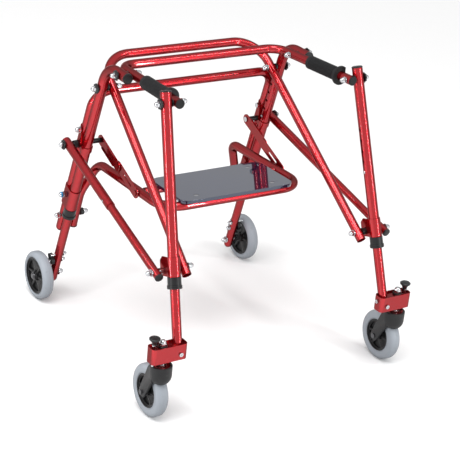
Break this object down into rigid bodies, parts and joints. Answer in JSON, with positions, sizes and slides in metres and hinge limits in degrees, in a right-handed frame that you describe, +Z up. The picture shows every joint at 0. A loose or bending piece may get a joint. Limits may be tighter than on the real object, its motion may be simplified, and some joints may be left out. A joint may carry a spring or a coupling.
{
  "type": "posterior walker",
  "caption": "Folding posterior walker with red tube frame, swivelling front casters, telescoping legs, hand grips and a flip-up seat",
  "frame": {"origin": "floor level, midway between front and rear axles on the middle plane", "axes": "X across the walker, to the right as seen from the open front side; Y from the open front to the rear frame; Z up"},
  "size_m": [0.7246, 0.7331, 0.723],
  "materials": {
    "red_paint": "gloss red enamel on steel tube",
    "black_plastic": "satin black moulding",
    "grip_rubber": "matt black rubber",
    "bright_metal": "bright plated steel",
    "grey_tyre": "non-marking light grey",
    "fork_plastic": "charcoal moulding",
    "seat_black": "gloss black board"
  },
  "bodies": {
    "rear_frame": {"rear_uprights": "red_paint", "rear_crossbar": "red_paint", "frame_clamps": "red_paint", "rear_frame_trim": "black_plastic", "rear_frame_bolts": "bright_metal"},
    "upper_frame": {"upper_frame": "red_paint"},
    "handlebar": {"handlebar": "red_paint", "handlebar_grips": "grip_rubber", "handlebar_nuts": "bright_metal"},
    "seat": {"seat_frame": "red_paint", "seat_board": "seat_black", "seat_fasteners": "bright_metal"},
    "upper_stays": {"upper_stays": "red_paint"},
    "lower_stays": {"lower_stays": "red_paint"},
    "rear_leg_left": {"rear_leg_left": "red_paint", "rear_leg_bolts_left": "bright_metal"},
    "rear_button_left": {"rear_leg_button_left": "bright_metal"},
    "reverse_pawl_left": {"reverse_pawl_left": "black_plastic"},
    "rear_wheel_left": {"rear_tyre_left": "grey_tyre", "rear_hub_left": "black_plastic"},
    "front_post_left": {"front_post_left": "red_paint", "post_bracket_left": "red_paint", "front_post_trim_left": "black_plastic", "front_post_bolts_left": "bright_metal"},
    "front_leg_left": {"front_leg_left": "red_paint", "caster_housing_left": "red_paint", "caster_stem_left": "bright_metal"},
    "front_button_left": {"front_leg_button_left": "bright_metal"},
    "swivel_pin_left": {"swivel_pin_left": "black_plastic"},
    "caster_fork_left": {"caster_fork_left": "fork_plastic", "front_axle_left": "bright_metal"},
    "front_wheel_left": {"front_tyre_left": "grey_tyre", "front_hub_left": "black_plastic"},
    "strut_sleeve_left": {"strut_sleeve_left": "red_paint"},
    "strut_rod_left": {"strut_rod_left": "red_paint", "strut_bolt_left": "bright_metal"},
    "strut_button_left": {"strut_button_left": "bright_metal"},
    "rear_leg_right": {"rear_leg_right": "red_paint", "rear_leg_bolts_right": "bright_metal"},
    "rear_button_right": {"rear_leg_button_right": "bright_metal"},
    "reverse_pawl_right": {"reverse_pawl_right": "black_plastic"},
    "rear_wheel_right": {"rear_tyre_right": "grey_tyre", "rear_hub_right": "black_plastic"},
    "front_post_right": {"front_post_right": "red_paint", "post_bracket_right": "red_paint", "front_post_trim_right": "black_plastic", "front_post_bolts_right": "bright_metal"},
    "front_leg_right": {"front_leg_right": "red_paint", "caster_housing_right": "red_paint", "caster_stem_right": "bright_metal"},
    "front_button_right": {"front_leg_button_right": "bright_metal"},
    "swivel_pin_right": {"swivel_pin_right": "black_plastic"},
    "caster_fork_right": {"caster_fork_right": "fork_plastic", "front_axle_right": "bright_metal"},
    "front_wheel_right": {"front_tyre_right": "grey_tyre", "front_hub_right": "black_plastic"},
    "strut_sleeve_right": {"strut_sleeve_right": "red_paint"},
    "strut_rod_right": {"strut_rod_right": "red_paint", "strut_bolt_right": "bright_metal"},
    "strut_button_right": {"strut_button_right": "bright_metal"}
  },
  "joints": [
    {"name": "fold", "type": "hinge", "parent": "rear_frame", "child": "upper_frame", "pos_m": [0, 0.13416, 0.6215], "axis": [1, 0, 0], "range_deg": [0, 60]},
    {"name": "handle_turn", "type": "hinge", "parent": "rear_frame", "child": "handlebar", "pos_m": [0, 0.0485, 0.683], "axis": [1, 0, 0], "range_deg": [0, 86.06]},
    {"name": "seat_lift", "type": "hinge", "parent": "rear_frame", "child": "seat", "pos_m": [0, 0.27607, 0.237], "axis": [-1, 0, 0], "range_deg": [0, 36]},
    {"name": "upper_stay_turn", "type": "hinge", "parent": "rear_frame", "child": "upper_stays", "pos_m": [0, 0.19853, 0.46], "axis": [-1, 0, 0], "range_deg": [0, 5.2]},
    {"name": "lower_stay_turn", "type": "hinge", "parent": "upper_stays", "child": "lower_stays", "pos_m": [0, 0.11112, 0.42574], "axis": [-1, 0, 0], "range_deg": [0, 141.64]},
    {"name": "rear_leg_height_left", "type": "slide", "parent": "rear_frame", "child": "rear_leg_left", "axis": [0.025, -0.2906, 0.9565], "range_m": [0, 0.1016], "deforming": ["rear_leg_button_left"]},
    {"name": "rear_button_press_left", "type": "slide", "parent": "rear_leg_left", "child": "rear_button_left", "axis": [-0.9997, -0.0073, 0.024], "range_m": [0, 0.003], "stiffness_N_per_m": 400, "springref_m": -0.004},
    {"name": "pawl_turn_left", "type": "hinge", "parent": "rear_leg_left", "child": "reverse_pawl_left", "pos_m": [-0.26643, 0.29154, 0.1035], "axis": [-1, 0, 0], "range_deg": [0, 25]},
    {"name": "rear_wheel_spin_left", "type": "hinge", "parent": "rear_leg_left", "child": "rear_wheel_left", "pos_m": [-0.31, 0.304, 0.0625], "axis": [1, 0, 0], "continuous": true},
    {"name": "post_turn_left", "type": "hinge", "parent": "upper_frame", "child": "front_post_left", "pos_m": [0, -0.26476, 0.3375], "axis": [1, 0, 0], "range_deg": [-19.73, 0]},
    {"name": "front_leg_height_left", "type": "slide", "parent": "front_post_left", "child": "front_leg_left", "axis": [0.0508, 0.3152, 0.9476], "range_m": [0, 0.0762], "deforming": ["front_leg_button_left"]},
    {"name": "front_button_press_left", "type": "slide", "parent": "front_leg_left", "child": "front_button_left", "axis": [-0.9987, 0.016, 0.0482], "range_m": [0, 0.003], "stiffness_N_per_m": 400, "springref_m": -0.004},
    {"name": "pin_lift_left", "type": "slide", "parent": "front_leg_left", "child": "swivel_pin_left", "axis": [0, 0, 1], "range_m": [0, 0.008], "stiffness_N_per_m": 300, "springref_m": -0.005},
    {"name": "caster_swivel_left", "type": "hinge", "parent": "front_leg_left", "child": "caster_fork_left", "pos_m": [-0.328, -0.3406, 0.15], "axis": [0, 0, 1], "continuous": true},
    {"name": "front_wheel_spin_left", "type": "hinge", "parent": "caster_fork_left", "child": "front_wheel_left", "pos_m": [-0.328, -0.304, 0.0625], "axis": [1, 0, 0], "continuous": true},
    {"name": "strut_turn_left", "type": "hinge", "parent": "rear_frame", "child": "strut_sleeve_left", "pos_m": [-0.29361, 0.20968, 0.4555], "axis": [0.9976, -0.029, -0.0634], "range_deg": [0, 70.81]},
    {"name": "strut_slide_left", "type": "slide", "parent": "strut_sleeve_left", "child": "strut_rod_left", "axis": [-0.0435, -0.9695, -0.2411], "range_m": [-0.16607, 0], "deforming": ["strut_button_left"]},
    {"name": "strut_button_press_left", "type": "slide", "parent": "strut_rod_left", "child": "strut_button_left", "axis": [0.9991, -0.0422, -0.0105], "range_m": [0, 0.003], "stiffness_N_per_m": 400, "springref_m": -0.004},
    {"name": "rear_leg_height_right", "type": "slide", "parent": "rear_frame", "child": "rear_leg_right", "axis": [-0.025, -0.2906, 0.9565], "range_m": [0, 0.1016], "deforming": ["rear_leg_button_right"]},
    {"name": "rear_button_press_right", "type": "slide", "parent": "rear_leg_right", "child": "rear_button_right", "axis": [0.9997, -0.0073, 0.024], "range_m": [0, 0.003], "stiffness_N_per_m": 400, "springref_m": -0.004},
    {"name": "pawl_turn_right", "type": "hinge", "parent": "rear_leg_right", "child": "reverse_pawl_right", "pos_m": [0.26643, 0.29154, 0.1035], "axis": [-1, 0, 0], "range_deg": [0, 25]},
    {"name": "rear_wheel_spin_right", "type": "hinge", "parent": "rear_leg_right", "child": "rear_wheel_right", "pos_m": [0.31, 0.304, 0.0625], "axis": [1, 0, 0], "continuous": true},
    {"name": "post_turn_right", "type": "hinge", "parent": "upper_frame", "child": "front_post_right", "pos_m": [0, -0.26476, 0.3375], "axis": [1, 0, 0], "range_deg": [-19.73, 0]},
    {"name": "front_leg_height_right", "type": "slide", "parent": "front_post_right", "child": "front_leg_right", "axis": [-0.0508, 0.3152, 0.9476], "range_m": [0, 0.0762], "deforming": ["front_leg_button_right"]},
    {"name": "front_button_press_right", "type": "slide", "parent": "front_leg_right", "child": "front_button_right", "axis": [0.9987, 0.016, 0.0482], "range_m": [0, 0.003], "stiffness_N_per_m": 400, "springref_m": -0.004},
    {"name": "pin_lift_right", "type": "slide", "parent": "front_leg_right", "child": "swivel_pin_right", "axis": [0, 0, 1], "range_m": [0, 0.008], "stiffness_N_per_m": 300, "springref_m": -0.005},
    {"name": "caster_swivel_right", "type": "hinge", "parent": "front_leg_right", "child": "caster_fork_right", "pos_m": [0.328, -0.3406, 0.15], "axis": [0, 0, 1], "continuous": true},
    {"name": "front_wheel_spin_right", "type": "hinge", "parent": "caster_fork_right", "child": "front_wheel_right", "pos_m": [0.328, -0.304, 0.0625], "axis": [1, 0, 0], "continuous": true},
    {"name": "strut_turn_right", "type": "hinge", "parent": "rear_frame", "child": "strut_sleeve_right", "pos_m": [0.29361, 0.20968, 0.4555], "axis": [0.9976, 0.029, 0.0634], "range_deg": [0, 70.81]},
    {"name": "strut_slide_right", "type": "slide", "parent": "strut_sleeve_right", "child": "strut_rod_right", "axis": [0.0435, -0.9695, -0.2411], "range_m": [-0.16607, 0], "deforming": ["strut_button_right"]},
    {"name": "strut_button_press_right", "type": "slide", "parent": "strut_rod_right", "child": "strut_button_right", "axis": [-0.9991, -0.0422, -0.0105], "range_m": [0, 0.003], "stiffness_N_per_m": 400, "springref_m": -0.004}
  ],
  "couplings": [
    {"joint": "handle_turn", "follows": "fold", "ratio": 1.4334},
    {"joint": "upper_stay_turn", "follows": "seat_lift", "ratio": 0.14318},
    {"joint": "lower_stay_turn", "follows": "seat_lift", "ratio": 3.9331},
    {"joint": "post_turn_left", "follows": "fold", "ratio": -0.32799},
    {"joint": "strut_turn_left", "follows": "fold", "ratio": 1.1794},
    {"joint": "strut_slide_left", "follows": "fold", "m_per_rad": -0.1584},
    {"joint": "post_turn_right", "follows": "fold", "ratio": -0.32799},
    {"joint": "strut_turn_right", "follows": "fold", "ratio": 1.1794},
    {"joint": "strut_slide_right", "follows": "fold", "m_per_rad": -0.1584}
  ]
}
